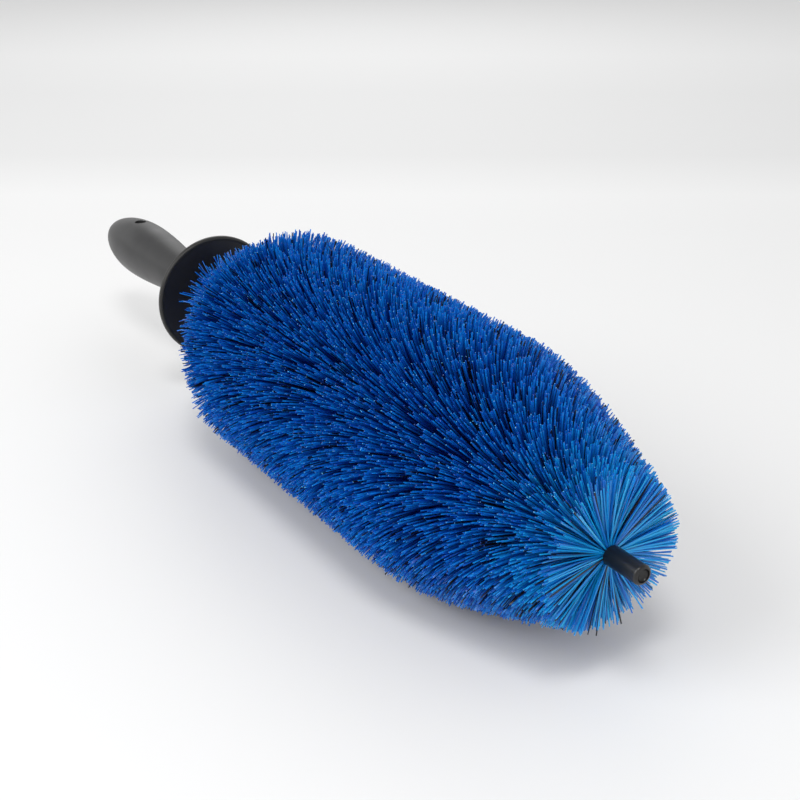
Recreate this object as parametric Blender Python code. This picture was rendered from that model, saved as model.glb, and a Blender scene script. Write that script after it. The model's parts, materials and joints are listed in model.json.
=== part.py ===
"""Flexible wheel brush: a twisted-in-wire bristle head with a splash guard and an egg-shaped handle.

The brush lies along X, tip towards +X, resting on the flattened underside of its bristles.
Stations s are measured along the brush from the front face of the splash guard, in metres.
"""

import math

import bmesh
import bpy
from mathutils import Matrix, Vector

# ---------------------------------------------------------------- driving dimensions, metres
# bristle head
HEAD_START = 0.006          # bare wire between the guard and the first bristles
HEAD_LENGTH = 0.297
HEAD_RADIUS = 0.053         # barrel
HEAD_START_RADIUS = 0.014   # shortest bristles, beside the guard
HEAD_END_RADIUS = 0.0285    # last bristles, at the tip
REAR_TAPER = 0.068          # length over which the bristles grow behind the barrel
NOSE_TAPER = 0.081          # length over which they shorten in front of it
NOSE_POWER = 1.35           # 1 is a cone, more is rounder
REST_SQUASH = 0.0028        # how far the barrel's underside is pressed flat where it lies

# flexible stem: two twisted strands, cut into links that stand for its bending
LINKS = 8
BEND_LIMIT = math.radians(7.0)
BEND_MARGIN = math.radians(0.6)
LINK_GAP = 0.0006
STRAND_GAP = 0.0010
WIRE_DIAMETER = 0.0026
TWIST_PITCH = 0.018
WIRE_IN_HANDLE = 0.062

# splash guard
GUARD_RADIUS = 0.031
GUARD_RIM = 0.0032          # rim thickness along the brush
GUARD_DISH = 0.0016         # how far the front face is hollowed
GUARD_DEPTH = 0.0085        # front face to the seat on the handle
GUARD_EDGE = 0.0012         # rounding of the rim
HUB_WALL = 0.0015           # the hub's reach beyond the handle's neck
HUB_LENGTH = 0.0020

# handle
HANDLE_LENGTH = 0.1230
HANDLE_RADIUS = 0.0150
NECK_RADIUS = 0.0092
BELLY_FROM_END = 0.042      # the widest part, from the far end
SWELL_POWER = 1.6           # 1 swells at once from the neck, more keeps the neck slim for longer
END_FULLNESS = 1.95         # 2 is an ellipse, more is blunter
HANG_HOLE_DIAMETER = 0.0062
HANG_HOLE_FROM_END = 0.037
HANG_HOLE_EDGE = 0.0008
CUTTER_REACH = 0.004        # how far the hole's cutter stands out of the handle
FERRULE_LENGTH = 0.022
FERRULE_WALL = 0.0010

# tip cap
CAP_LENGTH = 0.0165
CAP_WALL = 0.00075
DIMPLE_RADIUS = 0.0026
DIMPLE_DEPTH = 0.0019

GAP = 0.0003                # clearance between pieces that touch on the real brush

ROUND_SIDES = 40
STRAND_SIDES = 6
STEPS_PER_TURN = 8

# ---------------------------------------------------------------- worked-out sizes
STRAND_OFFSET = (WIRE_DIAMETER + GAP) / 2
WIRE_OUTER = STRAND_OFFSET + WIRE_DIAMETER / 2
WIRE_BORE = WIRE_OUTER + GAP
HEAD_END = HEAD_START + HEAD_LENGTH
HANDLE_FRONT = -(GUARD_DEPTH + GAP)
HANDLE_END = HANDLE_FRONT - HANDLE_LENGTH
WIRE_ROOT = HANDLE_FRONT - WIRE_IN_HANDLE
CAP_START = HEAD_END + GAP
CAP_END = CAP_START + CAP_LENGTH
CAP_RADIUS = WIRE_BORE + CAP_WALL
FERRULE_RADIUS = WIRE_BORE + FERRULE_WALL
AXIS_HEIGHT = HEAD_RADIUS - REST_SQUASH
GUARD_X = -(HANDLE_END + CAP_END) / 2    # puts the middle of the whole brush at X = 0
LINK_LENGTH = HEAD_LENGTH / LINKS
FACE_SLOPE = math.tan((BEND_LIMIT + BEND_MARGIN) / 2)

# the first bend is in the bare wire, the others are between the links
PIVOTS = [HEAD_START / 2] + [HEAD_START + LINK_LENGTH * k for k in range(1, LINKS)]


# ---------------------------------------------------------------- tools
def clear_scene():
    for obj in list(bpy.data.objects):
        bpy.data.objects.remove(obj, do_unlink=True)


def make_material(name, colour, roughness, metallic=0.0):
    material = bpy.data.materials.new(name)
    material.use_nodes = True
    shader = material.node_tree.nodes["Principled BSDF"]
    shader.inputs["Base Color"].default_value = (*colour, 1.0)
    shader.inputs["Roughness"].default_value = roughness
    shader.inputs["Metallic"].default_value = metallic
    material.diffuse_color = (*colour, 1.0)
    return material


def add_empty(name, station, parent=None):
    """An empty on the brush's axis; a child's place is kept relative to its parent."""
    empty = bpy.data.objects.new(name, None)
    empty.empty_display_size = 0.02
    bpy.context.scene.collection.objects.link(empty)
    if parent is None:
        empty.location = (GUARD_X + station, 0.0, AXIS_HEIGHT)
    else:
        empty.parent = parent
        empty.location = (station - parent["station"], 0.0, 0.0)
    empty["station"] = station
    return empty


def add_piece(name, bm, body, look):
    """Makes a node from a bmesh drawn about the brush's axis, and hangs it on its body."""
    bmesh.ops.translate(bm, verts=bm.verts, vec=(-body["station"], 0.0, 0.0))
    bmesh.ops.recalc_face_normals(bm, faces=bm.faces)
    mesh = bpy.data.meshes.new(name)
    bm.to_mesh(mesh)
    bm.free()
    mesh.shade_smooth()
    mesh.set_sharp_from_angle(angle=math.radians(35))
    mesh.materials.append(make_material(name, *look))
    obj = bpy.data.objects.new(name, mesh)
    bpy.context.scene.collection.objects.link(obj)
    obj.parent = body
    return obj


def turned(profile, sides=ROUND_SIDES):
    """A closed profile of (station, radius) points turned about the axis; radius 0 makes a pole."""
    bm = bmesh.new()
    rings = []
    for station, radius in profile:
        if radius < 1e-7:
            rings.append([bm.verts.new((station, 0.0, 0.0))])
            continue
        angles = [2 * math.pi * i / sides for i in range(sides)]
        rings.append([bm.verts.new((station, radius * math.sin(a), radius * math.cos(a))) for a in angles])
    for first, second in zip(rings, rings[1:] + rings[:1]):
        for i in range(sides):
            corners = [first[i % len(first)], first[(i + 1) % len(first)]]
            corners += [second[(i + 1) % len(second)], second[i % len(second)]]
            corners = list(dict.fromkeys(corners))
            if len(corners) > 2:
                bm.faces.new(corners)
    return bm


def arc(centre, radius, start, end, steps):
    """Profile points on a quarter round, from one angle to another in degrees."""
    angles = [math.radians(start + (end - start) * i / steps) for i in range(steps + 1)]
    return [(centre[0] + radius * math.cos(a), centre[1] + radius * math.sin(a)) for a in angles]


# ---------------------------------------------------------------- the bristle head's envelope
def head_radius(station):
    """Length of the bristles at a station, from the axis to their ends."""
    from_start = station - HEAD_START
    to_end = HEAD_END - station
    if from_start < REAR_TAPER:
        return HEAD_START_RADIUS + (HEAD_RADIUS - HEAD_START_RADIUS) * from_start / REAR_TAPER
    if to_end < NOSE_TAPER:
        share = (NOSE_TAPER - to_end) / NOSE_TAPER
        return HEAD_RADIUS - (HEAD_RADIUS - HEAD_END_RADIUS) * share**NOSE_POWER
    return HEAD_RADIUS


def link_face(joint_station, radius, side):
    """Station of a link's end face at a radius: a shallow cone, open to the bend beside it."""
    return joint_station + side * (LINK_GAP / 2 + radius * FACE_SLOPE)


def rim_station(joint_station, side):
    """Where a link's end face meets the envelope."""
    station = joint_station
    for _ in range(20):
        station = link_face(joint_station, head_radius(station), side)
    return station


def bristle_link(index):
    """The space that one link's bristles fill, round the wire, pressed flat where it lies."""
    start = HEAD_START + LINK_LENGTH * index
    end = start + LINK_LENGTH
    first, last = index == 0, index == LINKS - 1
    rear = (start, start) if first else (link_face(start, WIRE_BORE, 1), rim_station(start, 1))
    front = (end, end) if last else (link_face(end, WIRE_BORE, -1), rim_station(end, -1))
    steps = 3
    outer = [rear[1] + (front[1] - rear[1]) * i / steps for i in range(steps + 1)]
    corner = HEAD_START + REAR_TAPER
    if outer[0] < corner < outer[-1]:
        outer = sorted(outer[:1] + [corner] + outer[-2:])
    profile = [(rear[0], WIRE_BORE)]
    profile += [(station, head_radius(station)) for station in outer]
    profile += [(front[0], WIRE_BORE)]
    bm = turned(profile)
    for vert in bm.verts:
        vert.co.z = max(vert.co.z, -AXIS_HEIGHT)
    return bm


# ---------------------------------------------------------------- the twisted wire
def strand(start, end, phase):
    """One wire of the twisted pair between two stations, as a swept round bar with flat ends."""
    turns = (end - start) / TWIST_PITCH
    steps = max(2, math.ceil(turns * STEPS_PER_TURN))
    lean = math.atan2(2 * math.pi * STRAND_OFFSET, TWIST_PITCH)
    bm = bmesh.new()
    rings = []
    for i in range(steps + 1):
        station = start + (end - start) * i / steps
        angle = phase + 2 * math.pi * station / TWIST_PITCH
        # the ends are cut square to the stem, the rest square to the strand
        tilt = 0.0 if i in (0, steps) else lean
        turn = Matrix.Rotation(-angle, 3, "X")
        ring = []
        for k in range(STRAND_SIDES):
            around = 2 * math.pi * k / STRAND_SIDES
            out = WIRE_DIAMETER / 2 * math.cos(around)
            along = WIRE_DIAMETER / 2 * math.sin(around)
            spot = Vector((-along * math.sin(tilt), along * math.cos(tilt), STRAND_OFFSET + out))
            ring.append(bm.verts.new(turn @ spot + Vector((station, 0.0, 0.0))))
        rings.append(ring)
    for first, second in zip(rings, rings[1:]):
        for k in range(STRAND_SIDES):
            nxt = (k + 1) % STRAND_SIDES
            bm.faces.new((first[k], first[nxt], second[nxt], second[k]))
    bm.faces.new(rings[0])
    bm.faces.new(list(reversed(rings[-1])))
    return bm


# ---------------------------------------------------------------- guard, ferrule, handle and cap
def guard_profile():
    rim_mid = GUARD_RADIUS - GUARD_EDGE
    hub = NECK_RADIUS + HUB_WALL
    halfway = (hub + rim_mid) / 2
    return [
        (-GUARD_DEPTH, WIRE_BORE),
        (-GUARD_DISH, WIRE_BORE),
        (-GUARD_DISH, hub),
        (-GUARD_DISH / 2, halfway),
        *arc((-GUARD_EDGE, rim_mid), GUARD_EDGE, 0, 90, 3),
        *arc((-GUARD_RIM + GUARD_EDGE, rim_mid), GUARD_EDGE, 90, 180, 3),
        (-GUARD_RIM - GUARD_EDGE, halfway),
        (-GUARD_DEPTH + HUB_LENGTH, hub),
        (-GUARD_DEPTH, hub),
    ]


def handle_radius(share_from_front):
    """Outer radius of the egg-shaped grip: a long swell from the neck, then a round end."""
    belly = 1 - BELLY_FROM_END / HANDLE_LENGTH
    if share_from_front <= belly:
        swell = math.sin(math.pi / 2 * (share_from_front / belly) ** SWELL_POWER)
        return NECK_RADIUS + (HANDLE_RADIUS - NECK_RADIUS) * swell
    beyond = (share_from_front - belly) / (1 - belly)
    return HANDLE_RADIUS * max(0.0, 1 - beyond**END_FULLNESS) ** (1 / END_FULLNESS)


def handle_profile():
    socket = FERRULE_RADIUS + GAP
    ferrule_seat = HANDLE_FRONT - FERRULE_LENGTH - GAP
    belly = 1 - BELLY_FROM_END / HANDLE_LENGTH
    swell = [belly * i / 7 for i in range(8)]
    end = [belly + (1 - belly) * math.sin(math.pi / 2 * i / 8) for i in range(1, 8)]
    outside = [(HANDLE_FRONT - HANDLE_LENGTH * t, handle_radius(t)) for t in swell + end]
    bottom = WIRE_ROOT - GAP
    return [
        (bottom, 0.0),
        (bottom, WIRE_BORE),
        (ferrule_seat, WIRE_BORE),
        (ferrule_seat, socket),
        (HANDLE_FRONT, socket),
        *outside,
        (HANDLE_END, 0.0),
    ]


def cap_profile():
    edge = CAP_RADIUS - DIMPLE_RADIUS
    floor = CAP_END - DIMPLE_DEPTH
    bowl = [math.radians(angle) for angle in (30, 60)]
    return [
        (CAP_START, WIRE_BORE),
        (CAP_START, CAP_RADIUS),
        *arc((CAP_END - edge, DIMPLE_RADIUS), edge, 90, 0, 5),
        *[(CAP_END - DIMPLE_DEPTH * math.sin(a), DIMPLE_RADIUS * math.cos(a)) for a in bowl],
        (floor, 0.0),
        (floor - CAP_WALL, 0.0),
        (floor - CAP_WALL, WIRE_BORE),
    ]


def ferrule_profile():
    start, end = HANDLE_FRONT - FERRULE_LENGTH, HANDLE_FRONT - GAP
    return [
        (start, WIRE_BORE),
        (start, FERRULE_RADIUS),
        (end, FERRULE_RADIUS),
        (end, WIRE_BORE),
    ]


def drill_hang_hole(handle):
    """A vertical hole through the handle, with its two mouths eased."""
    station = HANDLE_END + HANG_HOLE_FROM_END
    radius = HANG_HOLE_DIAMETER / 2
    share = (HANDLE_FRONT - station) / HANDLE_LENGTH
    mouth = handle_radius(share)
    flare = radius + HANG_HOLE_EDGE
    reach = mouth + CUTTER_REACH
    upper = [(mouth - HANG_HOLE_EDGE, radius), (mouth, flare), (reach, flare), (reach, 0.0)]
    lower = [(-height, r) for height, r in reversed(upper)]
    bm = turned(lower + upper, sides=24)
    bmesh.ops.rotate(bm, verts=bm.verts, matrix=Matrix.Rotation(math.pi / 2, 3, "Y"))
    bmesh.ops.recalc_face_normals(bm, faces=bm.faces)
    mesh = bpy.data.meshes.new("hang_hole_cutter")
    bm.to_mesh(mesh)
    bm.free()
    cutter = bpy.data.objects.new("hang_hole_cutter", mesh)
    bpy.context.scene.collection.objects.link(cutter)
    cutter.parent = handle.parent
    cutter.location = (station - handle.parent["station"], 0.0, 0.0)
    cutter.hide_render = True
    cutter.display_type = "WIRE"
    cut = handle.modifiers.new("hang_hole", "BOOLEAN")
    cut.operation = "DIFFERENCE"
    cut.solver = "EXACT"
    cut.object = cutter


# ---------------------------------------------------------------- looks: colour, roughness, metallic
HANDLE_LOOK = ((0.022, 0.022, 0.023), 0.42)
GUARD_LOOK = ((0.008, 0.009, 0.011), 0.38)
CAP_LOOK = ((0.014, 0.014, 0.016), 0.40)
STEEL_LOOK = ((0.56, 0.57, 0.58), 0.34, 1.0)
BRISTLE_LOOK = ((0.004, 0.075, 0.42), 0.45)


def build():
    clear_scene()
    root = add_empty("brush_root", 0.0)

    handle = add_piece("handle", turned(handle_profile(), sides=32), root, HANDLE_LOOK)
    drill_hang_hole(handle)
    add_piece("splash_guard", turned(guard_profile(), sides=48), root, GUARD_LOOK)
    add_piece("wire_ferrule", turned(ferrule_profile(), sides=24), root, STEEL_LOOK)
    for letter, phase in (("a", 0.0), ("b", math.pi)):
        end = PIVOTS[0] - STRAND_GAP / 2
        add_piece(f"wire_root_{letter}", strand(WIRE_ROOT, end, phase), root, STEEL_LOOK)

    body = root
    for index in range(LINKS):
        number = index + 1
        last = number == LINKS
        body = add_empty(f"stem_link_{number}", PIVOTS[index], body)
        start = PIVOTS[index] + STRAND_GAP / 2
        end = CAP_END - 2 * CAP_RADIUS if last else PIVOTS[index + 1] - STRAND_GAP / 2
        for letter, phase in (("a", 0.0), ("b", math.pi)):
            add_piece(f"wire_{letter}_{number}", strand(start, end, phase), body, STEEL_LOOK)
        add_piece(f"bristles_{number}", bristle_link(index), body, BRISTLE_LOOK)
    add_piece("tip_cap", turned(cap_profile(), sides=24), body, CAP_LOOK)


build()
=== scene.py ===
"""Looks of the flexible wheel brush: filaments, twisted wire, guard, handle, tip cap, studio and camera.

The brush lies along X with its tip towards +X. Stations run along X, and radii are from the brush's axis.
"""

import json
import math

import bmesh
import bpy
import numpy as np
from mathutils import Matrix, Vector


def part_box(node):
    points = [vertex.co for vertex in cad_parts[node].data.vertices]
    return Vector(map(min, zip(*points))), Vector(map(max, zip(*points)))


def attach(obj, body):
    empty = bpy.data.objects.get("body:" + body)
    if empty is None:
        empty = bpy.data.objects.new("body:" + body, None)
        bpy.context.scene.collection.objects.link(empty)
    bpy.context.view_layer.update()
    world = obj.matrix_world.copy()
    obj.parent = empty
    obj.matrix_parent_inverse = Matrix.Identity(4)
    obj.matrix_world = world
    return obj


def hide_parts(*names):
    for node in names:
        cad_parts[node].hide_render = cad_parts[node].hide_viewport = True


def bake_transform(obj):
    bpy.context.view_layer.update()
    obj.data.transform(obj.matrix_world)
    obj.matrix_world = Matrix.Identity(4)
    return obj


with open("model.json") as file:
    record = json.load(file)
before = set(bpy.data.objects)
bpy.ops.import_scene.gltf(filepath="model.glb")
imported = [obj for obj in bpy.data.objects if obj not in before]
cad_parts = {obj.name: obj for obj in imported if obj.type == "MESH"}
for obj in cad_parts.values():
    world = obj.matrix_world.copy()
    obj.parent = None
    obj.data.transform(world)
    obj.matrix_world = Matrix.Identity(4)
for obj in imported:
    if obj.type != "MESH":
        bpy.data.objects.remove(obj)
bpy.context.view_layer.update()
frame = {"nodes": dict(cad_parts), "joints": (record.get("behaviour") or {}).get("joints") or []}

# ---------------------------------------------------------------- sizes read from the frame, metres
GUARD_LOW, GUARD_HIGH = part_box("splash_guard")
HANDLE_LOW, HANDLE_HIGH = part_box("handle")
CAP_LOW, CAP_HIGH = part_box("tip_cap")
AXIS_HEIGHT = (GUARD_LOW.z + GUARD_HIGH.z) / 2
GUARD_FRONT = GUARD_HIGH.x
HEAD_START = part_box("bristles_1")[0].x
HEAD_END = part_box("bristles_8")[1].x
WIRE_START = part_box("wire_root_a")[0].x
WIRE_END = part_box("wire_a_8")[1].x
PIVOTS = [joint["pos_m"][0] for joint in frame["joints"]]
LINKS = [joint["child"] for joint in frame["joints"]]

# ---------------------------------------------------------------- sizes of the fine detail, metres
FIT_GAP = 0.0003             # round the wire in the guard and the cap

GUARD_RIM = 0.0032           # thickness at the rim
GUARD_EDGE = 0.0012          # round of the rim
GUARD_DISH = 0.0016          # depth of the hollow in front
GUARD_HUB_ROUND = 0.0009
GUARD_FALL = 0.0010          # how far the back slopes away before the hub
GUARD_HUB_STEP = 0.0030      # height of the hub over the back, plus GUARD_FALL
GUARD_BORE_EDGE = 0.0003
GUARD_HUB_FILLET = 0.0006
GUARD_FRONT_DROP = 0.0002    # how far the dish's outer edge stays behind the front
GUARD_STEPS = 14
GUARD_SIDES = 160

BELLY_FROM_END = 0.042
SWELL_POWER = 1.6
END_FULLNESS = 1.95
MOUTH_ROUND = 0.0007
SOCKET_WALL_GAP = 0.0016     # room for the ferrule round the wire
SOCKET_DEPTH = 0.0223
GRIP_STEPS = 40
GRIP_END_STEPS = 44
GRIP_SIDES = 128
HANG_HOLE_RADIUS = 0.0031
HANG_HOLE_EDGE = 0.0008
HANG_HOLE_FROM_END = 0.037
HANG_HOLE_SIDES = 64
CUTTER_RISE = 0.0002         # the rounded mouth ends this far above the grip
CUTTER_REACH = 0.004

DIMPLE_RADIUS = 0.0026
DIMPLE_DEPTH = 0.0019
DIMPLE_STEPS = 12
CAP_WALL = 0.00075
CAP_LIP = 0.0004
CAP_WAIST = 0.4              # place of the slight waist, as a share of the cap's length
CAP_WAIST_RADIUS = 0.985     # radius there, as a share of the cap's
CAP_SIDES = 72

WIRE_DIAMETER = 0.0026
STRAND_OFFSET = 0.00145      # axis of the brush to the middle of a strand
WIRE_REACH = STRAND_OFFSET + WIRE_DIAMETER / 2
TWIST_PITCH = 0.018
STRAND_SIDES = 12
STEPS_PER_TURN = 22

# ---------------------------------------------------------------- filaments, metres and radians
SEED = 11
FILAMENTS = 26000
FILAMENT_RADIUS = 0.00032
THICKNESS_SPREAD = 0.15      # a filament is up to this share thicker or thinner
END_TAPER = 0.88             # thickness at the cut end, as a share of the root's
CUT_SLOPE = 0.35
ROOT_RADIUS = 0.0016
ROOT_CROWDING = 0.88         # below 1 the roots crowd towards the tip
BEND_POINTS = (0.0, 0.42, 0.76, 1.0)
BEND_ALONG = 0.4             # how far the middle of a filament has turned to its end's station and angle
BEND_OUT = 0.55              # the middle's radius, as a share of the length
HELIX_CROWD = 0.16           # how far the filaments crowd into the wire's helix
LEAN = 0.028
TIP_SPLAY = 0.10             # the last filaments splay forward by this share of their length
TIP_SPLAY_LENGTH = 0.006

TUFT_SIZE = 0.0040           # filaments lean together in tufts about this wide
TUFT_MARGIN = 4              # spare columns of tufts at each end of the head
TUFT_PULL = 0.18
TUFT_PULL_SPREAD = (0.2, 1.0)
TUFT_WANDER = (0.1, 0.9)     # where a tuft's middle may lie in its place in the grid

REAR_LENGTH = 0.075          # the thin and ragged part at the handle's end
TRIM_SPREAD = 0.0006
REAR_TRIM_SPREAD = 0.0018
REAR_SHORTENING = 0.0045
SHORT_SHARE = 0.06
SHORT_LENGTHS = (0.80, 0.97)
STRAY_SHARE = 0.90           # filaments drawn above this stick out at the rear
STRAY_LENGTHS = (0.004, 0.0120)
TRIM_LIMIT = 0.0012          # no filament ends further than this outside the outline
REAR_TRIM_LIMIT = 0.009
FLOOR_CLEARANCE = 0.0004
FLOOR_SPREAD = 0.5           # how far the pressed ends spread along the floor

# painted shade: filaments are painted darker the deeper they lie in the head
FULL_DEPTH = 0.020           # deeper than this the filaments get the full painted shade
END_OPENNESS = 0.2
TIP_PAINTED_LIGHT = 0.032             # painted light: the filaments are painted brighter over this last length of the head
DEPTH_FALLOFF = 3.0

# ---------------------------------------------------------------- colours
STRAND_BLACK = (0.003, 0.003, 0.005)
BLACK_SHARE = 0.085          # filaments tinted below this are black
BLUE_START = 0.09
# painted shade: the deep blues stand in for the shade deep in the head
SHADED_BLUES = ((0.0001, 0.008, 0.17), (0.0003, 0.028, 0.33))
OPEN_BLUES = ((0.0008, 0.085, 0.52), (0.005, 0.25, 0.80))
# painted light: lighter blues for the filaments near the tip
LIT_TIP_BLUES = ((0.002, 0.14, 0.60), (0.012, 0.44, 0.86))
# cut ends: mostly deep blue, with painted glints on the palest few
END_BLUES_AND_GLINTS = [(0.0, (0.0004, 0.025, 0.25)), (0.8, (0.0008, 0.07, 0.42)), (0.93, (0.10, 0.42, 0.75))]
STEEL_GREYS = [(0.3, (0.42, 0.43, 0.44)), (0.7, (0.66, 0.67, 0.68))]
GUARD_COLOURS = ((0.0085, 0.008, 0.0072), (0.0125, 0.0118, 0.0108))
HANDLE_COLOURS = ((0.018, 0.018, 0.019), (0.026, 0.026, 0.027))
CAP_COLOURS = ((0.006, 0.006, 0.007), (0.009, 0.009, 0.010))

# ---------------------------------------------------------------- studio and camera, metres and degrees
FLOOR_RADIUS = 16.0
FLOOR_SIDES = 96
# painted light and shade on the floor: a brighter band behind the brush, greyer beyond it
PAPER_PAINTED_SHADES = [(0.36, 0.87), (0.44, 0.885), (0.56, 0.815), (0.80, 0.825), (1.0, 0.88)]
SKY_GREYS = [(0.0, 0.44), (0.04, 0.46), (0.16, 1.0), (0.5, 0.56), (1.0, 0.37)]
SKY_STRENGTH = 1.22
KEY_HEIGHT, KEY_BEHIND, KEY_SIZE, KEY_POWER = 1.15, -0.62, 0.42, 4.5
FILL_PLACE, FILL_SIZE, FILL_POWER = (-0.1, -1.15, 0.95), 0.9, 8.0
BACK_HEIGHT, BACK_BEHIND, BACK_SIZE, BACK_POWER = 0.75, 1.1, 0.9, 2.0
CAMERA_AZIMUTH = 57.27
CAMERA_ELEVATION = 24.29
CAMERA_DISTANCE = 0.5919
CAMERA_AIM = (GUARD_FRONT + 0.1571, 0.0088)
CAMERA_LENS = 63.0           # millimetres
CAMERA_SENSOR = 36.0         # millimetres
CAMERA_CLIP = 0.01


# ---------------------------------------------------------------- meshes
def add_object(name, mesh):
    obj = bpy.data.objects.new(name, mesh)
    bpy.context.scene.collection.objects.link(obj)
    return obj


def finish_mesh(name, bm, sharp_degrees=40):
    """Turns a bmesh into an object, shaded smooth but for its sharp edges."""
    bmesh.ops.recalc_face_normals(bm, faces=bm.faces)
    mesh = bpy.data.meshes.new(name)
    bm.to_mesh(mesh)
    bm.free()
    mesh.shade_smooth()
    mesh.set_sharp_from_angle(angle=math.radians(sharp_degrees))
    return add_object(name, mesh)


def turned(profile, sides):
    """A closed profile of (x, radius) points turned about the brush's axis; radius 0 makes a pole."""
    bm = bmesh.new()
    rings = []
    for x, radius in profile:
        if radius < 1e-7:
            rings.append([bm.verts.new((x, 0.0, AXIS_HEIGHT))])
            continue
        angles = [2 * math.pi * i / sides for i in range(sides)]
        places = [(x, radius * math.sin(a), AXIS_HEIGHT + radius * math.cos(a)) for a in angles]
        rings.append([bm.verts.new(place) for place in places])
    for first, second in zip(rings, rings[1:] + rings[:1]):
        for i in range(sides):
            corners = [first[i % len(first)], first[(i + 1) % len(first)]]
            corners += [second[(i + 1) % len(second)], second[i % len(second)]]
            corners = list(dict.fromkeys(corners))
            if len(corners) > 2:
                bm.faces.new(corners)
    return bm


def arc(centre, radius, start, end, steps):
    """Profile points on a round, from one angle to another in degrees."""
    angles = [math.radians(start + (end - start) * i / steps) for i in range(steps + 1)]
    return [(centre[0] + radius * math.cos(a), centre[1] + radius * math.sin(a)) for a in angles]


def ring_radius(node, x):
    """Greatest distance from the axis among a CAD node's corners at one station."""
    spots = [vert.co for vert in frame["nodes"][node].data.vertices if abs(vert.co.x - x) < 1e-5]
    return max(math.hypot(spot.y, spot.z - AXIS_HEIGHT) for spot in spots)


# ---------------------------------------------------------------- materials
def new_material(name, roughness, metallic=0.0, specular=0.5):
    material = bpy.data.materials.new(name)
    material.use_nodes = True
    tree = material.node_tree
    shader = tree.nodes["Principled BSDF"]
    shader.inputs["Roughness"].default_value = roughness
    shader.inputs["Metallic"].default_value = metallic
    shader.inputs["Specular IOR Level"].default_value = specular
    return material, tree, shader


def add_node(tree, kind, **settings):
    node = tree.nodes.new(kind)
    for key, value in settings.items():
        setattr(node, key, value)
    return node


def noise(tree, scale, detail=3.0, stretch=(1.0, 1.0, 1.0)):
    """Noise on the object's own coordinates, in steps of 1/scale metres."""
    place = add_node(tree, "ShaderNodeTexCoord")
    mapping = add_node(tree, "ShaderNodeMapping")
    mapping.inputs["Scale"].default_value = stretch
    texture = add_node(tree, "ShaderNodeTexNoise")
    texture.inputs["Scale"].default_value = scale
    texture.inputs["Detail"].default_value = detail
    tree.links.new(place.outputs["Object"], mapping.inputs["Vector"])
    tree.links.new(mapping.outputs["Vector"], texture.inputs["Vector"])
    return texture.outputs["Fac"]


def ramp(tree, value, stops):
    """A colour ramp from (position, colour) stops."""
    node = add_node(tree, "ShaderNodeValToRGB")
    elements = node.color_ramp.elements
    while len(elements) < len(stops):
        elements.new(1.0)
    for element, (position, colour) in zip(elements, stops):
        element.position = position
        element.color = (*colour, 1.0)
    tree.links.new(value, node.inputs["Fac"])
    return node.outputs["Color"]


def to_range(tree, value, low, high):
    node = add_node(tree, "ShaderNodeMapRange")
    node.inputs["From Min"].default_value = 0.3
    node.inputs["From Max"].default_value = 0.7
    node.inputs["To Min"].default_value = low
    node.inputs["To Max"].default_value = high
    tree.links.new(value, node.inputs["Value"])
    return node.outputs["Result"]


def bump(tree, height, strength, distance):
    node = add_node(tree, "ShaderNodeBump")
    node.inputs["Strength"].default_value = strength
    node.inputs["Distance"].default_value = distance
    tree.links.new(height, node.inputs["Height"])
    return node.outputs["Normal"]


def moulded_plastic(name, dark, light, smooth, rough, grain):
    """Moulded plastic with a fine satin grain, and cloudier patches where it has been handled."""
    material, tree, shader = new_material(name, smooth)
    colour = ramp(tree, noise(tree, 60.0, 4.0), [(0.35, dark), (0.65, light)])
    tree.links.new(colour, shader.inputs["Base Color"])
    tree.links.new(to_range(tree, noise(tree, 45.0, 5.0), smooth, rough), shader.inputs["Roughness"])
    fine = noise(tree, grain, 2.0)
    tree.links.new(bump(tree, fine, 0.25, 0.00008), shader.inputs["Normal"])
    return material


def drawn_steel():
    """Bright drawn wire, with streaks along it."""
    material, tree, shader = new_material("drawn_steel", 0.3, metallic=1.0)
    streaks = noise(tree, 900.0, 3.0, stretch=(0.1, 1.0, 1.0))
    colour = ramp(tree, streaks, STEEL_GREYS)
    tree.links.new(colour, shader.inputs["Base Color"])
    return material


def tinted(darkest, lightest):
    """Ramp stops over the filaments' tint: black for a few, then from the darkest blue to the lightest."""
    return [(0.0, STRAND_BLACK), (BLACK_SHARE, STRAND_BLACK), (BLUE_START, darkest), (1.0, lightest)]


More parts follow.
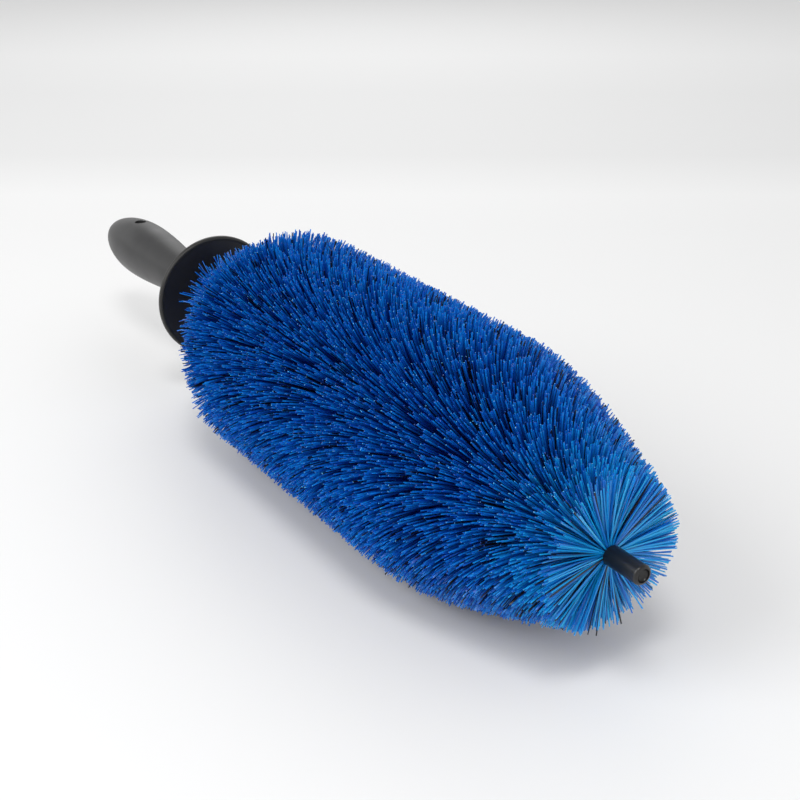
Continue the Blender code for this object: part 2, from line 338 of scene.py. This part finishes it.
def filament_material():
    """Blue filaments: each has its own tint and a few are black; painted shade darkens them deep in the head,
    painted light brightens them near the tip, and a few cut ends get painted glints.
    """
    material, tree, shader = new_material("blue_filament", 0.30, specular=0.45)
    shader.inputs["Subsurface Weight"].default_value = 0.25
    shader.inputs["Subsurface Radius"].default_value = (0.1, 0.5, 1.0)
    shader.inputs["Subsurface Scale"].default_value = 0.0008
    tint = add_node(tree, "ShaderNodeAttribute", attribute_name="tint")
    depth_shade = add_node(tree, "ShaderNodeAttribute", attribute_name="depth_shade")
    cut = add_node(tree, "ShaderNodeAttribute", attribute_name="cut")
    deep = ramp(tree, tint.outputs["Fac"], tinted(*SHADED_BLUES))
    open_air = ramp(tree, tint.outputs["Fac"], tinted(*OPEN_BLUES))
    # painted shade: the mix darkens the filaments the deeper they lie
    openness = add_node(tree, "ShaderNodeMath", operation="SUBTRACT")
    openness.inputs[0].default_value = 1.0
    tree.links.new(depth_shade.outputs["Fac"], openness.inputs[1])
    painted_light = add_node(tree, "ShaderNodeMath", operation="POWER")
    painted_light.inputs[1].default_value = DEPTH_FALLOFF
    tree.links.new(openness.outputs["Value"], painted_light.inputs[0])
    lengthwise = add_node(tree, "ShaderNodeMix", data_type="RGBA")
    tree.links.new(painted_light.outputs["Value"], lengthwise.inputs["Factor"])
    tree.links.new(deep, lengthwise.inputs["A"])
    # painted light: filaments near the tip are painted lighter
    tip_painted_light = add_node(tree, "ShaderNodeAttribute", attribute_name="tip_painted_light")
    brighter = add_node(tree, "ShaderNodeMix", data_type="RGBA")
    tree.links.new(tip_painted_light.outputs["Fac"], brighter.inputs["Factor"])
    tree.links.new(open_air, brighter.inputs["A"])
    tree.links.new(ramp(tree, tint.outputs["Fac"], tinted(*LIT_TIP_BLUES)), brighter.inputs["B"])
    tree.links.new(brighter.outputs["Result"], lengthwise.inputs["B"])
    # painted glints: a few cut ends are painted pale
    ended = add_node(tree, "ShaderNodeMix", data_type="RGBA")
    is_end = add_node(tree, "ShaderNodeMath", operation="GREATER_THAN")
    is_end.inputs[1].default_value = 0.001
    tree.links.new(cut.outputs["Fac"], is_end.inputs[0])
    tree.links.new(is_end.outputs["Value"], ended.inputs["Factor"])
    tree.links.new(ramp(tree, cut.outputs["Fac"], END_BLUES_AND_GLINTS), ended.inputs["B"])
    tree.links.new(lengthwise.outputs["Result"], ended.inputs["A"])
    tree.links.new(ended.outputs["Result"], shader.inputs["Base Color"])
    return material


def paper(away):
    """Pale seamless paper with painted light and shade: a soft painted bright band behind the brush, painted
    shade beyond it, and lighter again far off.
    """
    material, tree, shader = new_material("painted_shade_paper", 0.6, specular=0.3)
    beyond = add_node(tree, "ShaderNodeVectorMath", operation="DOT_PRODUCT")
    beyond.inputs[1].default_value = away
    tree.links.new(add_node(tree, "ShaderNodeTexCoord").outputs["Object"], beyond.inputs[0])
    colour = ramp(tree, beyond.outputs["Value"], [(place, (grey,) * 3) for place, grey in PAPER_PAINTED_SHADES])
    tree.links.new(colour, shader.inputs["Base Color"])
    return material


# ---------------------------------------------------------------- stretches of the stem
def stem_stretches(start, end):
    """Stretches of the stem as (start, end, bodies): one body at each end, and two bodies across each later
    joint.
    """
    middles = [(a + b) / 2 for a, b in zip(PIVOTS, PIVOTS[1:])] + [(PIVOTS[-1] + HEAD_END) / 2]
    stretches = [(start, middles[0], [LINKS[0]])]
    stretches += [(a, b, [c, d]) for a, b, c, d in zip(middles, middles[1:], LINKS, LINKS[1:])]
    stretches += [(middles[-1], end, [LINKS[-1]])]
    return stretches


def hang_on(obj, bodies):
    """Rides on one body, or, when it spans two, is left unparented with its place baked into its mesh."""
    if len(bodies) == 1:
        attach(obj, bodies[0])
    else:
        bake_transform(obj)


# ---------------------------------------------------------------- bristle head
def head_envelope():
    """Stations and radii of the bristle head's outline, from the rims of its CAD solids."""
    rims = {}
    for number in range(1, len(LINKS) + 1):
        for vert in frame["nodes"][f"bristles_{number}"].data.vertices:
            height = vert.co.z - AXIS_HEIGHT
            radius = math.hypot(vert.co.y, height)
            if height > 0.0 and radius > 2 * WIRE_DIAMETER:
                rims[round(vert.co.x, 5)] = max(radius, rims.get(round(vert.co.x, 5), 0.0))
    stations = sorted(rims)
    return np.array(stations), np.array([rims[x] for x in stations])


def polar(x, around, radius):
    """Points at stations, angles round the axis and radii."""
    return np.stack([x, radius * np.sin(around), AXIS_HEIGHT + radius * np.cos(around)], axis=-1)


def filament_paths():
    """Root station and (count, 3 points, xyz) of every filament: root, bend and cut end."""
    rng = np.random.default_rng(SEED)
    stations, radii = head_envelope()
    root = HEAD_START + (HEAD_END - HEAD_START) * rng.uniform(0.0, 1.0, FILAMENTS) ** ROOT_CROWDING
    around = rng.uniform(0.0, 2 * math.pi, FILAMENTS)
    around += HELIX_CROWD * np.sin(2 * (around - 2 * math.pi * root / TWIST_PITCH))
    shape = np.interp(root, stations, radii)

    # filaments lean a little each their own way, and the last ones splay forward
    to_end = HEAD_END - root
    splay = TIP_SPLAY * np.exp(-to_end / TIP_SPLAY_LENGTH)
    tip = root + shape * (rng.normal(0.0, LEAN, FILAMENTS) + splay)
    tip_around = around + rng.normal(0.0, LEAN, FILAMENTS)

    # tufts: a grid of leaning places that the ends are drawn to
    columns = math.ceil((HEAD_END - HEAD_START) / TUFT_SIZE) + 2 * TUFT_MARGIN
    rows = round(2 * math.pi * radii.max() / TUFT_SIZE)
    row_angle = 2 * math.pi / rows
    column = np.clip(((tip - HEAD_START) / TUFT_SIZE).astype(int) + TUFT_MARGIN, 0, columns - 1)
    row = (np.mod(tip_around, 2 * math.pi) / row_angle).astype(int) % rows
    place = np.arange(columns)[:, None] - TUFT_MARGIN + rng.uniform(*TUFT_WANDER, (columns, rows))
    centre_x = HEAD_START + place * TUFT_SIZE
    centre_around = (np.arange(rows)[None, :] + rng.uniform(*TUFT_WANDER, (columns, rows))) * row_angle
    pull = TUFT_PULL * rng.uniform(*TUFT_PULL_SPREAD, (columns, rows))
    drawn = pull[column, row]
    turn = centre_around[column, row] - tip_around
    turn = np.mod(turn + math.pi, 2 * math.pi) - math.pi
    tip += drawn * (centre_x[column, row] - tip)
    tip_around += drawn * turn

    # lengths: trimmed to the outline, less even at the thin rear end
    rear = np.clip(1.0 - (root - HEAD_START) / REAR_LENGTH, 0.0, 1.0)
    length = shape + rng.normal(0.0, 1.0, FILAMENTS) * (TRIM_SPREAD + REAR_TRIM_SPREAD * rear)
    stray = rng.uniform(0.0, 1.0, FILAMENTS)
    length -= REAR_SHORTENING * rear * rng.uniform(0.0, 1.0, FILAMENTS)
    length *= np.where(stray < SHORT_SHARE, rng.uniform(*SHORT_LENGTHS, FILAMENTS), 1.0)
    length += np.where(stray > STRAY_SHARE, rng.uniform(*STRAY_LENGTHS, FILAMENTS) * rear, 0.0)
    length = np.minimum(length, shape + TRIM_LIMIT + REAR_TRIM_LIMIT * rear)

    start = polar(root, around, ROOT_RADIUS)
    bend_x = root * (1 - BEND_ALONG) + tip * BEND_ALONG
    bend_around = around * (1 - BEND_ALONG) + tip_around * BEND_ALONG
    bend = polar(bend_x, bend_around, length * BEND_OUT)
    end = polar(tip, tip_around, length)

    # where the brush lies, the ends are pressed up and spread along the floor
    pressed = np.maximum(FLOOR_CLEARANCE - end[:, 2], 0.0)
    side = np.where(rng.uniform(0.0, 1.0, (columns, rows)) < 0.5, -1.0, 1.0)[column, row]
    end[:, 0] += side * FLOOR_SPREAD * np.sqrt(2 * shape * pressed)
    end[:, 2] = np.maximum(end[:, 2], FLOOR_CLEARANCE)
    return root, np.stack([start, bend, end], axis=1)


def curve_points(paths):
    """Points along each path's quadratic curve, as (count, rings, xyz)."""
    t = np.array(BEND_POINTS)[None, :, None]
    start, bend, end = paths[:, 0:1], paths[:, 1:2], paths[:, 2:3]
    return (1 - t) ** 2 * start + 2 * t * (1 - t) * bend + t**2 * end


def filament_tubes(rng, centres):
    """Corners of three-sided tubes along the centre lines, as (count, rings, 3, xyz)."""
    count = len(centres)
    ahead = centres[:, -1] - centres[:, 0]
    ahead /= np.linalg.norm(ahead, axis=1)[:, None]
    across = np.cross(ahead, (1.0, 0.0, 0.0))
    across /= np.linalg.norm(across, axis=1)[:, None]
    beside = np.cross(ahead, across)
    angle = rng.uniform(0.0, 2 * math.pi, (count, 1)) + np.arange(3) * 2 * math.pi / 3
    outward = np.cos(angle)[..., None] * across[:, None] + np.sin(angle)[..., None] * beside[:, None]
    thickness = FILAMENT_RADIUS * rng.uniform(1 - THICKNESS_SPREAD, 1 + THICKNESS_SPREAD, (count, 1, 1, 1))
    taper = np.linspace(1.0, END_TAPER, centres.shape[1])[None, :, None, None]
    corners = centres[:, :, None] + outward[:, None] * thickness * taper
    # the cut is seldom square
    slope = rng.normal(0.0, CUT_SLOPE, (count, 1)) * np.cos(angle + rng.uniform(0.0, 6.0, (count, 1)))
    corners[:, -1] += (slope * thickness[:, 0, 0])[..., None] * ahead[:, None]
    return np.maximum(corners, (-9.0, -9.0, FLOOR_CLEARANCE / 2))


def filament_faces(count, rings):
    """Side faces (quads) and the two end faces (triangles) of every tube."""
    first = np.arange(count)[:, None, None] * rings * 3
    ring = np.arange(rings - 1)[None, :, None] * 3
    side = np.arange(3)[None, None, :]
    after = (side + 1) % 3
    quads = np.stack([first + ring + side, first + ring + after,
                      first + ring + 3 + after, first + ring + 3 + side], axis=-1)
    base = np.arange(count)[:, None] * rings * 3
    ends = base + (rings - 1) * 3 + np.array([0, 1, 2])
    roots = base + np.array([0, 2, 1])
    return quads.reshape(-1, 4), ends, roots


def atlas(count, rings):
    """Each filament's own cell of a square sheet, so that a baked colour keeps every filament apart."""
    cells = math.ceil(math.sqrt(count))
    number = np.arange(count)
    cell = np.stack([number % cells, number // cells], axis=-1)[:, None, :]
    lower = np.linspace(0.08, 0.80, rings)
    sides = []
    for ring in range(rings - 1):
        for side in range(3):
            left, right = 0.06 + 0.88 * side / 3, 0.06 + 0.88 * (side + 1) / 3
            sides += [(left, lower[ring]), (right, lower[ring]),
                      (right, lower[ring + 1]), (left, lower[ring + 1])]
    quad_uvs = (cell + np.array(sides)) / cells
    end_uvs = (cell + np.array([(0.06, 0.86), (0.94, 0.86), (0.5, 0.98)])) / cells
    root_uvs = (cell + np.array([(0.06, 0.01), (0.94, 0.01), (0.5, 0.05)])) / cells
    return np.concatenate([uvs.reshape(-1, 2) for uvs in (quad_uvs, end_uvs, root_uvs)])


def shade_depth(centres):
    """Painted shade for each point, from how deep it lies in the head: 0 in the open air to 1 at FULL_DEPTH
    or more.
    """
    stations, radii = head_envelope()
    x = centres[..., 0]
    radial = np.interp(x, stations, radii) - np.hypot(centres[..., 1], centres[..., 2] - AXIS_HEIGHT)
    endwise = END_OPENNESS * np.minimum(x - HEAD_START, HEAD_END - x)
    return np.clip(np.minimum(radial, endwise) / FULL_DEPTH, 0.0, 1.0)


def filament_piece(name, rng, paths, material):
    """One mesh of filaments, with its tint, its painted depth shade, its painted tip light and its cut ends,
    some with painted glints, as attributes.
    """
    centres = curve_points(paths)
    count, rings = centres.shape[:2]
    corners = filament_tubes(rng, centres)
    quads, ends, roots = filament_faces(count, rings)
    mesh = bpy.data.meshes.new(name)
    mesh.from_pydata(corners.reshape(-1, 3).tolist(), [], quads.tolist() + ends.tolist() + roots.tolist())
    sheet = mesh.uv_layers.new(name="OFBake")
    sheet.data.foreach_set("uv", atlas(count, rings).astype(np.float32).ravel())
    tint = mesh.attributes.new("tint", "FLOAT", "POINT")
    tint.data.foreach_set("value", np.repeat(rng.uniform(0.0, 1.0, count), rings * 3).astype(np.float32))
    # painted shade by depth in the head
    depth_shade = mesh.attributes.new("depth_shade", "FLOAT", "POINT")
    depth_shade.data.foreach_set("value", np.repeat(shade_depth(centres).ravel(), 3).astype(np.float32))
    # painted light near the tip
    tip_painted_light = mesh.attributes.new("tip_painted_light", "FLOAT", "POINT")
    near = np.clip(1.0 - (HEAD_END - centres[..., 0]) / TIP_PAINTED_LIGHT, 0.0, 1.0)
    tip_painted_light.data.foreach_set("value", np.repeat(near.ravel(), 3).astype(np.float32))
    flat = np.concatenate([np.zeros(len(quads), bool), np.ones(2 * count, bool)])
    mesh.attributes.new("sharp_face", "BOOLEAN", "FACE").data.foreach_set("value", flat)
    # the highest values give the cut ends their painted glints
    shine = np.concatenate([np.zeros(len(quads)), rng.uniform(0.01, 1.0, count), np.zeros(count)])
    mesh.attributes.new("cut", "FLOAT", "FACE").data.foreach_set("value", shine.astype(np.float32))
    mesh.materials.append(material)
    mesh.validate()
    return add_object(name, mesh)


def make_bristle_head():
    material = filament_material()
    root, paths = filament_paths()
    rng = np.random.default_rng(SEED + 1)
    for number, (start, end, bodies) in enumerate(stem_stretches(HEAD_START, HEAD_END), 1):
        inside = (root >= start) & (root < end)
        piece = filament_piece(f"filaments_{number}", rng, paths[inside], material)
        hang_on(piece, bodies)
        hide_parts(*[body.replace("stem_link", "bristles") for body in bodies])


# ---------------------------------------------------------------- twisted wire
def add_strand(bm, start, end, phase):
    """One of the twisted pair between two stations, square ended, in the CAD strand's own helix."""
    steps = max(2, math.ceil((end - start) / TWIST_PITCH * STEPS_PER_TURN))
    lean = math.atan2(2 * math.pi * STRAND_OFFSET, TWIST_PITCH)
    rings = []
    for i in range(steps + 1):
        x = start + (end - start) * i / steps
        angle = phase + 2 * math.pi * (x - GUARD_FRONT) / TWIST_PITCH
        tilt = 0.0 if i in (0, steps) else lean
        turn = Matrix.Rotation(-angle, 3, "X")
        ring = []
        for k in range(STRAND_SIDES):
            around = 2 * math.pi * k / STRAND_SIDES
            out = WIRE_DIAMETER / 2 * math.cos(around)
            beside = WIRE_DIAMETER / 2 * math.sin(around)
            spot = Vector((-beside * math.sin(tilt), beside * math.cos(tilt), STRAND_OFFSET + out))
            ring.append(bm.verts.new(turn @ spot + Vector((x, 0.0, AXIS_HEIGHT))))
        rings.append(ring)
    for first, second in zip(rings, rings[1:]):
        for k in range(STRAND_SIDES):
            after = (k + 1) % STRAND_SIDES
            bm.faces.new((first[k], first[after], second[after], second[k]))
    bm.faces.new(rings[0])
    bm.faces.new(list(reversed(rings[-1])))


def wire_piece(name, start, end, material):
    bm = bmesh.new()
    add_strand(bm, start, end, 0.0)
    add_strand(bm, start, end, math.pi)
    piece = finish_mesh(name, bm, 50)
    piece.data.materials.append(material)
    return piece


def make_wire(material):
    root = wire_piece("twisted_wire_root", WIRE_START, GUARD_FRONT, material)
    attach(root, "handle_body")
    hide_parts("wire_root_a", "wire_root_b")
    neck = wire_piece("twisted_wire_neck", GUARD_FRONT, HEAD_START, material)
    hang_on(neck, ["handle_body", LINKS[0]])
    for number, (start, end, bodies) in enumerate(stem_stretches(HEAD_START, WIRE_END), 1):
        piece = wire_piece(f"twisted_wire_{number}", start, end, material)
        hang_on(piece, bodies)
        ends = [body.rpartition("_")[2] for body in bodies]
        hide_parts(*[f"wire_{letter}_{link}" for letter in "ab" for link in ends])


# ---------------------------------------------------------------- splash guard
def make_guard():
    """A shallow dished disc with a rolled rim and a hub, on the handle's mouth."""
    radius = (GUARD_HIGH.z - GUARD_LOW.z) / 2
    depth = GUARD_HIGH.x - GUARD_LOW.x
    hub = ring_radius("splash_guard", GUARD_LOW.x)
    bore = WIRE_REACH + FIT_GAP
    inner = radius - GUARD_EDGE
    hollow = GUARD_FRONT - GUARD_DISH
    profile = [(GUARD_FRONT - depth, bore), (hollow - GUARD_BORE_EDGE, bore)]
    profile += [(hollow, bore + GUARD_BORE_EDGE), (hollow, hub - GUARD_HUB_FILLET)]
    for i in range(GUARD_STEPS + 1):
        share = i / GUARD_STEPS
        swell = 0.5 - 0.5 * math.cos(math.pi * share)
        profile.append((hollow + (GUARD_DISH - GUARD_FRONT_DROP) * swell, hub + (inner - hub) * share))
    profile += arc((GUARD_FRONT - GUARD_EDGE, inner), GUARD_EDGE, 8, 90, 8)
    profile += arc((GUARD_FRONT - GUARD_RIM + GUARD_EDGE, inner), GUARD_EDGE, 90, 180, 8)
    for i in range(1, GUARD_STEPS):
        share = i / GUARD_STEPS
        fall = GUARD_FALL * share + (depth - GUARD_RIM - GUARD_HUB_STEP) * share**3
        profile.append((GUARD_FRONT - GUARD_RIM - fall, inner + (hub - inner) * share))
    hub_centre = (GUARD_FRONT - depth + GUARD_HUB_ROUND, hub - GUARD_HUB_ROUND)
    profile += arc(hub_centre, GUARD_HUB_ROUND, 90, 180, 4)
    piece = finish_mesh("guard_disc", turned(profile, GUARD_SIDES), 50)
    piece.data.materials.append(moulded_plastic("guard_plastic", *GUARD_COLOURS, 0.34, 0.46, 2600.0))
    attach(piece, "handle_body")
    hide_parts("splash_guard")


# ---------------------------------------------------------------- handle
def grip_radius(share, neck, belly_radius, belly):
    """Outer radius of the grip: a long swell from the neck, then a round end."""
    if share <= belly:
        return neck + (belly_radius - neck) * math.sin(math.pi / 2 * (share / belly) ** SWELL_POWER)
    beyond = (share - belly) / (1 - belly)
    return belly_radius * max(0.0, 1 - beyond**END_FULLNESS) ** (1 / END_FULLNESS)


def make_handle():
    length = HANDLE_HIGH.x - HANDLE_LOW.x
    belly_radius = (HANDLE_HIGH.z - HANDLE_LOW.z) / 2
    neck = ring_radius("handle", HANDLE_HIGH.x)
    belly = 1 - BELLY_FROM_END / length
    socket = WIRE_REACH + SOCKET_WALL_GAP
    swell = [belly * i / GRIP_STEPS for i in range(GRIP_STEPS + 1)]
    quarter = [math.pi / 2 * i / GRIP_END_STEPS for i in range(1, GRIP_END_STEPS)]
    end = [belly + (1 - belly) * math.sin(angle) for angle in quarter]
    outside = [(HANDLE_HIGH.x - length * t, grip_radius(t, neck, belly_radius, belly)) for t in swell + end]
    socket_end = HANDLE_HIGH.x - SOCKET_DEPTH
    profile = [(socket_end, 0.0), (socket_end, socket), (HANDLE_HIGH.x, socket)]
    profile += arc((HANDLE_HIGH.x - MOUTH_ROUND, neck - MOUTH_ROUND), MOUTH_ROUND, 0, 80, 5)
    profile += outside[1:] + [(HANDLE_LOW.x, 0.0)]
    piece = finish_mesh("handle_grip", turned(profile, GRIP_SIDES), 40)
    drill(piece, length, neck, belly_radius, belly)
    piece.data.materials.append(moulded_plastic("handle_plastic", *HANDLE_COLOURS, 0.36, 0.48, 2200.0))
    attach(piece, "handle_body")
    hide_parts("handle")


def drill(piece, length, neck, belly_radius, belly):
    """The vertical hang hole, with rounded mouths."""
    x = HANDLE_LOW.x + HANG_HOLE_FROM_END
    mouth = grip_radius((HANDLE_HIGH.x - x) / length, neck, belly_radius, belly)
    wide = HANG_HOLE_RADIUS + HANG_HOLE_EDGE
    rounded = []
    for degrees in range(0, 91, 15):
        a = math.radians(degrees)
        height = mouth + CUTTER_RISE - HANG_HOLE_EDGE + HANG_HOLE_EDGE * math.sin(a)
        rounded.append((height, wide - HANG_HOLE_EDGE * math.cos(a)))
    top = mouth + CUTTER_REACH
    upper = rounded + [(top, wide), (top, 0.0)]
    lower = [(-height, r) for height, r in reversed(upper)]
    bm = turned(lower + upper, HANG_HOLE_SIDES)
    bmesh.ops.translate(bm, verts=bm.verts, vec=(0.0, 0.0, -AXIS_HEIGHT))
    bmesh.ops.rotate(bm, verts=bm.verts, matrix=Matrix.Rotation(math.pi / 2, 3, "Y"))
    bmesh.ops.translate(bm, verts=bm.verts, vec=(x, 0.0, AXIS_HEIGHT))
    cutter = finish_mesh("hang_hole_cutter", bm)
    cut = piece.modifiers.new("hang_hole", "BOOLEAN")
    cut.operation = "DIFFERENCE"
    cut.solver = "EXACT"
    cut.object = cutter
    drilled = bpy.data.meshes.new_from_object(piece.evaluated_get(bpy.context.evaluated_depsgraph_get()))
    piece.modifiers.remove(cut)
    piece.data = drilled
    bpy.data.objects.remove(cutter)
    drilled.shade_smooth()
    drilled.set_sharp_from_angle(angle=math.radians(30))


# ---------------------------------------------------------------- tip cap
def make_cap():
    """A soft dip-moulded cap: a thick skirt, a rounded end and a deep dimple."""
    radius = (CAP_HIGH.z - CAP_LOW.z) / 2
    bore = WIRE_REACH + FIT_GAP
    start, end = CAP_LOW.x, CAP_HIGH.x
    edge = radius - DIMPLE_RADIUS
    floor = end - DIMPLE_DEPTH
    profile = [(start, bore), (start, radius - CAP_LIP)]
    profile += arc((start + CAP_LIP, radius - CAP_LIP), CAP_LIP, 170, 90, 4)
    profile += [(start + CAP_WAIST * (end - start), radius * CAP_WAIST_RADIUS)]
    profile += arc((end - edge, DIMPLE_RADIUS), edge, 88, 0, 14)
    for i in range(1, DIMPLE_STEPS):
        a = math.pi / 2 * i / DIMPLE_STEPS
        profile.append((end - DIMPLE_DEPTH * math.sin(a), DIMPLE_RADIUS * math.cos(a)))
    profile += [(floor, 0.0), (floor - CAP_WALL, 0.0), (floor - CAP_WALL, bore)]
    piece = finish_mesh("cap_shell", turned(profile, CAP_SIDES), 60)
    piece.data.materials.append(moulded_plastic("cap_vinyl", *CAP_COLOURS, 0.24, 0.36, 1500.0))
    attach(piece, LINKS[-1])
    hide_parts("tip_cap")


# ---------------------------------------------------------------- studio
def add_light(name, place, size, power):
    """A round soft white light that faces the middle of the brush."""
    data = bpy.data.lights.new(name, "AREA")
    data.shape = "DISK"
    data.size = size
    data.energy = power
    obj = add_object(name, data)
    obj.visible_camera = False
    obj.location = place
    target = Vector((0.0, 0.0, AXIS_HEIGHT))
    obj.rotation_euler = (target - obj.location).to_track_quat("-Z", "Y").to_euler()


def make_studio():
    bearing = math.radians(CAMERA_AZIMUTH)
    away = Vector((-math.sin(bearing), math.cos(bearing), 0.0))
    rim = [2 * math.pi * i / FLOOR_SIDES for i in range(FLOOR_SIDES)]
    mesh = bpy.data.meshes.new("floor")
    mesh.from_pydata([(FLOOR_RADIUS * math.cos(a), FLOOR_RADIUS * math.sin(a), 0.0) for a in rim],
                     [], [tuple(range(FLOOR_SIDES))])
    mesh.materials.append(paper(away))
    add_object("floor", mesh)
    world = bpy.data.worlds.new("studio")
    world.use_nodes = True
    tree = world.node_tree
    heading = add_node(tree, "ShaderNodeSeparateXYZ")
    tree.links.new(add_node(tree, "ShaderNodeTexCoord").outputs["Generated"], heading.inputs["Vector"])
    grey = ramp(tree, heading.outputs["Z"], [(height, (shade,) * 3) for height, shade in SKY_GREYS])
    tree.links.new(grey, tree.nodes["Background"].inputs["Color"])
    tree.nodes["Background"].inputs["Strength"].default_value = SKY_STRENGTH
    bpy.context.scene.world = world
    add_light("key", Vector((0.0, 0.0, KEY_HEIGHT)) + away * KEY_BEHIND, KEY_SIZE, KEY_POWER)
    add_light("fill", Vector(FILL_PLACE), FILL_SIZE, FILL_POWER)
    add_light("back", Vector((0.0, 0.0, BACK_HEIGHT)) + away * BACK_BEHIND, BACK_SIZE, BACK_POWER)
    bpy.context.scene.view_settings.view_transform = "Standard"


def make_camera():
    data = bpy.data.cameras.new("camera")
    data.lens = CAMERA_LENS
    data.sensor_width = CAMERA_SENSOR
    data.clip_start = CAMERA_CLIP
    camera = add_object("camera", data)
    azimuth, elevation = math.radians(CAMERA_AZIMUTH), math.radians(CAMERA_ELEVATION)
    back = Vector((math.sin(azimuth) * math.cos(elevation), -math.cos(azimuth) * math.cos(elevation),
                   math.sin(elevation)))
    camera.location = Vector((*CAMERA_AIM, AXIS_HEIGHT)) + back * CAMERA_DISTANCE
    camera.rotation_euler = (-back).to_track_quat("-Z", "Y").to_euler()
    bpy.context.scene.camera = camera


# ---------------------------------------------------------------- the whole scene
make_camera()
make_studio()
steel = drawn_steel()
make_bristle_head()
make_wire(steel)
make_guard()
make_handle()
make_cap()
ferrule = frame["nodes"]["wire_ferrule"]
ferrule.data.materials.clear()
ferrule.data.materials.append(steel)
